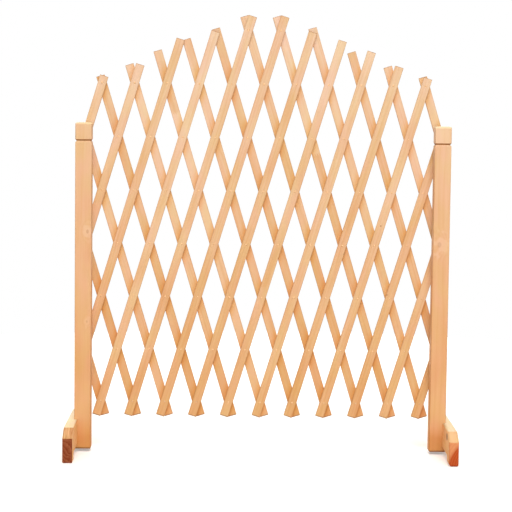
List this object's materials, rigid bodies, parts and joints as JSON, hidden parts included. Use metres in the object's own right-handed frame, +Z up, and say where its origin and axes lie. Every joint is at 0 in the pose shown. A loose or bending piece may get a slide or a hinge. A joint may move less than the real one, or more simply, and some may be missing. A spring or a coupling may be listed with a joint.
{
  "type": "expanding wooden plant trellis",
  "caption": "Free-standing wooden trellis: a riveted scissor lattice with a stepped arched top that draws out between two capped posts on sled feet.",
  "frame": {"origin": "on the floor, midway between the posts and between the ends of the feet", "axes": "+X to the right post, +Y to the back where the lattice is, +Z up"},
  "size_m": [0.8992, 0.316, 1.02],
  "materials": {
    "front_slat": "planed softwood",
    "back_slat": "planed softwood",
    "post": "planed softwood",
    "foot": "planed softwood",
    "rivet": "dull",
    "steel": "zinc plated"
  },
  "bodies": {
    "left_post": {"left_post": "post", "left_foot": "foot", "left_foot_screws": "steel", "left_pivot_screw": "steel", "left_spacer": "steel"},
    "right_post": {"right_post": "post", "right_foot": "foot", "right_foot_screws": "steel", "right_pivot_screw": "steel", "right_spacer": "steel"},
    "front_slat_01": {"front_slat_01": "front_slat", "rivets_01": "rivet"},
    "front_slat_02": {"front_slat_02": "front_slat", "rivets_02": "rivet", "left_middle_guide_pin": "steel"},
    "front_slat_03": {"front_slat_03": "front_slat", "rivets_03": "rivet", "left_lower_guide_pin": "steel"},
    "front_slat_04": {"front_slat_04": "front_slat", "rivets_04": "rivet"},
    "front_slat_05": {"front_slat_05": "front_slat", "rivets_05": "rivet"},
    "front_slat_06": {"front_slat_06": "front_slat", "rivets_06": "rivet"},
    "front_slat_07": {"front_slat_07": "front_slat", "rivets_07": "rivet"},
    "front_slat_08": {"front_slat_08": "front_slat", "rivets_08": "rivet"},
    "front_slat_09": {"front_slat_09": "front_slat", "rivets_09": "rivet"},
    "front_slat_10": {"front_slat_10": "front_slat", "rivets_10": "rivet"},
    "front_slat_11": {"front_slat_11": "front_slat", "rivets_11": "rivet"},
    "front_slat_12": {"front_slat_12": "front_slat", "rivets_12": "rivet"},
    "front_slat_13": {"front_slat_13": "front_slat", "rivets_13": "rivet", "right_middle_guide_pin": "steel"},
    "front_slat_14": {"front_slat_14": "front_slat", "rivets_14": "rivet", "right_lower_guide_pin": "steel"},
    "back_slat_01": {"back_slat_01": "back_slat"},
    "back_slat_02": {"back_slat_02": "back_slat"},
    "back_slat_03": {"back_slat_03": "back_slat"},
    "back_slat_04": {"back_slat_04": "back_slat"},
    "back_slat_05": {"back_slat_05": "back_slat"},
    "back_slat_06": {"back_slat_06": "back_slat"},
    "back_slat_07": {"back_slat_07": "back_slat"},
    "back_slat_08": {"back_slat_08": "back_slat"},
    "back_slat_09": {"back_slat_09": "back_slat"},
    "back_slat_10": {"back_slat_10": "back_slat"},
    "back_slat_11": {"back_slat_11": "back_slat"},
    "back_slat_12": {"back_slat_12": "back_slat"},
    "back_slat_13": {"back_slat_13": "back_slat"},
    "back_slat_14": {"back_slat_14": "back_slat"}
  },
  "joints": [
    {"name": "expand", "type": "hinge", "parent": "left_post", "child": "back_slat_03", "pos_m": [-0.41331, 0.0282, 0.73566], "axis": [0, -1, 0], "range_deg": [-11.5, 22.2]},
    {"name": "front_slat_01_pivot", "type": "hinge", "parent": "left_post", "child": "front_slat_01", "pos_m": [-0.41331, 0.0282, 0.73566], "axis": [0, 1, 0], "range_deg": [-11.5, 22.2]},
    {"name": "front_slat_02_pivot", "type": "hinge", "parent": "back_slat_03", "child": "front_slat_02", "pos_m": [-0.37574, 0.0282, 0.61121], "axis": [0, 1, 0], "range_deg": [-23, 44.4]},
    {"name": "front_slat_03_pivot", "type": "hinge", "parent": "back_slat_03", "child": "front_slat_03", "pos_m": [-0.33817, 0.0282, 0.48675], "axis": [0, 1, 0], "range_deg": [-23, 44.4]},
    {"name": "front_slat_04_pivot", "type": "hinge", "parent": "back_slat_03", "child": "front_slat_04", "pos_m": [-0.30059, 0.0282, 0.3623], "axis": [0, 1, 0], "range_deg": [-23, 44.4]},
    {"name": "front_slat_05_pivot", "type": "hinge", "parent": "back_slat_03", "child": "front_slat_05", "pos_m": [-0.26302, 0.0282, 0.23785], "axis": [0, 1, 0], "range_deg": [-23, 44.4]},
    {"name": "front_slat_06_pivot", "type": "hinge", "parent": "back_slat_03", "child": "front_slat_06", "pos_m": [-0.22545, 0.0282, 0.1134], "axis": [0, 1, 0], "range_deg": [-23, 44.4]},
    {"name": "back_slat_04_pivot", "type": "hinge", "parent": "front_slat_06", "child": "back_slat_04", "pos_m": [-0.18787, 0.0282, 0.23785], "axis": [0, -1, 0], "range_deg": [-23, 44.4]},
    {"name": "back_slat_05_pivot", "type": "hinge", "parent": "front_slat_06", "child": "back_slat_05", "pos_m": [-0.1503, 0.0282, 0.3623], "axis": [0, -1, 0], "range_deg": [-23, 44.4]},
    {"name": "back_slat_06_pivot", "type": "hinge", "parent": "front_slat_06", "child": "back_slat_06", "pos_m": [-0.11272, 0.0282, 0.48675], "axis": [0, -1, 0], "range_deg": [-23, 44.4]},
    {"name": "back_slat_07_pivot", "type": "hinge", "parent": "front_slat_06", "child": "back_slat_07", "pos_m": [-0.07515, 0.0282, 0.61121], "axis": [0, -1, 0], "range_deg": [-23, 44.4]},
    {"name": "back_slat_08_pivot", "type": "hinge", "parent": "front_slat_06", "child": "back_slat_08", "pos_m": [-0.03757, 0.0282, 0.73566], "axis": [0, -1, 0], "range_deg": [-23, 44.4]},
    {"name": "back_slat_09_pivot", "type": "hinge", "parent": "front_slat_06", "child": "back_slat_09", "pos_m": [0, 0.0282, 0.86011], "axis": [0, -1, 0], "range_deg": [-23, 44.4]},
    {"name": "back_slat_10_pivot", "type": "hinge", "parent": "front_slat_06", "child": "back_slat_10", "pos_m": [0.03757, 0.0282, 0.98456], "axis": [0, -1, 0], "range_deg": [-23, 44.4]},
    {"name": "back_slat_01_pivot", "type": "hinge", "parent": "front_slat_04", "child": "back_slat_01", "pos_m": [-0.37574, 0.0282, 0.1134], "axis": [0, -1, 0], "range_deg": [-23, 44.4]},
    {"name": "back_slat_02_pivot", "type": "hinge", "parent": "front_slat_04", "child": "back_slat_02", "pos_m": [-0.33817, 0.0282, 0.23785], "axis": [0, -1, 0], "range_deg": [-23, 44.4]},
    {"name": "front_slat_07_pivot", "type": "hinge", "parent": "back_slat_10", "child": "front_slat_07", "pos_m": [0.07515, 0.0282, 0.86011], "axis": [0, 1, 0], "range_deg": [-23, 44.4]},
    {"name": "front_slat_08_pivot", "type": "hinge", "parent": "back_slat_10", "child": "front_slat_08", "pos_m": [0.11272, 0.0282, 0.73566], "axis": [0, 1, 0], "range_deg": [-23, 44.4]},
    {"name": "front_slat_09_pivot", "type": "hinge", "parent": "back_slat_10", "child": "front_slat_09", "pos_m": [0.1503, 0.0282, 0.61121], "axis": [0, 1, 0], "range_deg": [-23, 44.4]},
    {"name": "front_slat_10_pivot", "type": "hinge", "parent": "back_slat_10", "child": "front_slat_10", "pos_m": [0.18787, 0.0282, 0.48675], "axis": [0, 1, 0], "range_deg": [-23, 44.4]},
    {"name": "front_slat_11_pivot", "type": "hinge", "parent": "back_slat_10", "child": "front_slat_11", "pos_m": [0.22545, 0.0282, 0.3623], "axis": [0, 1, 0], "range_deg": [-23, 44.4]},
    {"name": "front_slat_12_pivot", "type": "hinge", "parent": "back_slat_10", "child": "front_slat_12", "pos_m": [0.26302, 0.0282, 0.23785], "axis": [0, 1, 0], "range_deg": [-23, 44.4]},
    {"name": "front_slat_13_pivot", "type": "hinge", "parent": "back_slat_10", "child": "front_slat_13", "pos_m": [0.30059, 0.0282, 0.1134], "axis": [0, 1, 0], "range_deg": [-23, 44.4]},
    {"name": "back_slat_11_pivot", "type": "hinge", "parent": "front_slat_11", "child": "back_slat_11", "pos_m": [0.26302, 0.0282, 0.48675], "axis": [0, -1, 0], "range_deg": [-23, 44.4]},
    {"name": "back_slat_12_pivot", "type": "hinge", "parent": "front_slat_11", "child": "back_slat_12", "pos_m": [0.30059, 0.0282, 0.61121], "axis": [0, -1, 0], "range_deg": [-23, 44.4]},
    {"name": "back_slat_13_pivot", "type": "hinge", "parent": "front_slat_11", "child": "back_slat_13", "pos_m": [0.33817, 0.0282, 0.73566], "axis": [0, -1, 0], "range_deg": [-23, 44.4]},
    {"name": "back_slat_14_pivot", "type": "hinge", "parent": "front_slat_11", "child": "back_slat_14", "pos_m": [0.37574, 0.0282, 0.86011], "axis": [0, -1, 0], "range_deg": [-23, 44.4]},
    {"name": "front_slat_14_pivot", "type": "hinge", "parent": "back_slat_11", "child": "front_slat_14", "pos_m": [0.37574, 0.0282, 0.1134], "axis": [0, 1, 0], "range_deg": [-23, 44.4]},
    {"name": "right_post_pivot", "type": "hinge", "parent": "front_slat_12", "child": "right_post", "pos_m": [0.41331, 0.0282, 0.73566], "axis": [0, -1, 0], "range_deg": [-11.5, 22.2]}
  ],
  "couplings": [
    {"joint": "front_slat_01_pivot", "follows": "expand", "ratio": 1},
    {"joint": "front_slat_02_pivot", "follows": "expand", "ratio": 2},
    {"joint": "front_slat_03_pivot", "follows": "expand", "ratio": 2},
    {"joint": "front_slat_04_pivot", "follows": "expand", "ratio": 2},
    {"joint": "front_slat_05_pivot", "follows": "expand", "ratio": 2},
    {"joint": "front_slat_06_pivot", "follows": "expand", "ratio": 2},
    {"joint": "back_slat_04_pivot", "follows": "expand", "ratio": 2},
    {"joint": "back_slat_05_pivot", "follows": "expand", "ratio": 2},
    {"joint": "back_slat_06_pivot", "follows": "expand", "ratio": 2},
    {"joint": "back_slat_07_pivot", "follows": "expand", "ratio": 2},
    {"joint": "back_slat_08_pivot", "follows": "expand", "ratio": 2},
    {"joint": "back_slat_09_pivot", "follows": "expand", "ratio": 2},
    {"joint": "back_slat_10_pivot", "follows": "expand", "ratio": 2},
    {"joint": "back_slat_01_pivot", "follows": "expand", "ratio": 2},
    {"joint": "back_slat_02_pivot", "follows": "expand", "ratio": 2},
    {"joint": "front_slat_07_pivot", "follows": "expand", "ratio": 2},
    {"joint": "front_slat_08_pivot", "follows": "expand", "ratio": 2},
    {"joint": "front_slat_09_pivot", "follows": "expand", "ratio": 2},
    {"joint": "front_slat_10_pivot", "follows": "expand", "ratio": 2},
    {"joint": "front_slat_11_pivot", "follows": "expand", "ratio": 2},
    {"joint": "front_slat_12_pivot", "follows": "expand", "ratio": 2},
    {"joint": "front_slat_13_pivot", "follows": "expand", "ratio": 2},
    {"joint": "back_slat_11_pivot", "follows": "expand", "ratio": 2},
    {"joint": "back_slat_12_pivot", "follows": "expand", "ratio": 2},
    {"joint": "back_slat_13_pivot", "follows": "expand", "ratio": 2},
    {"joint": "back_slat_14_pivot", "follows": "expand", "ratio": 2},
    {"joint": "front_slat_14_pivot", "follows": "expand", "ratio": 2},
    {"joint": "right_post_pivot", "follows": "expand", "ratio": 1}
  ]
}
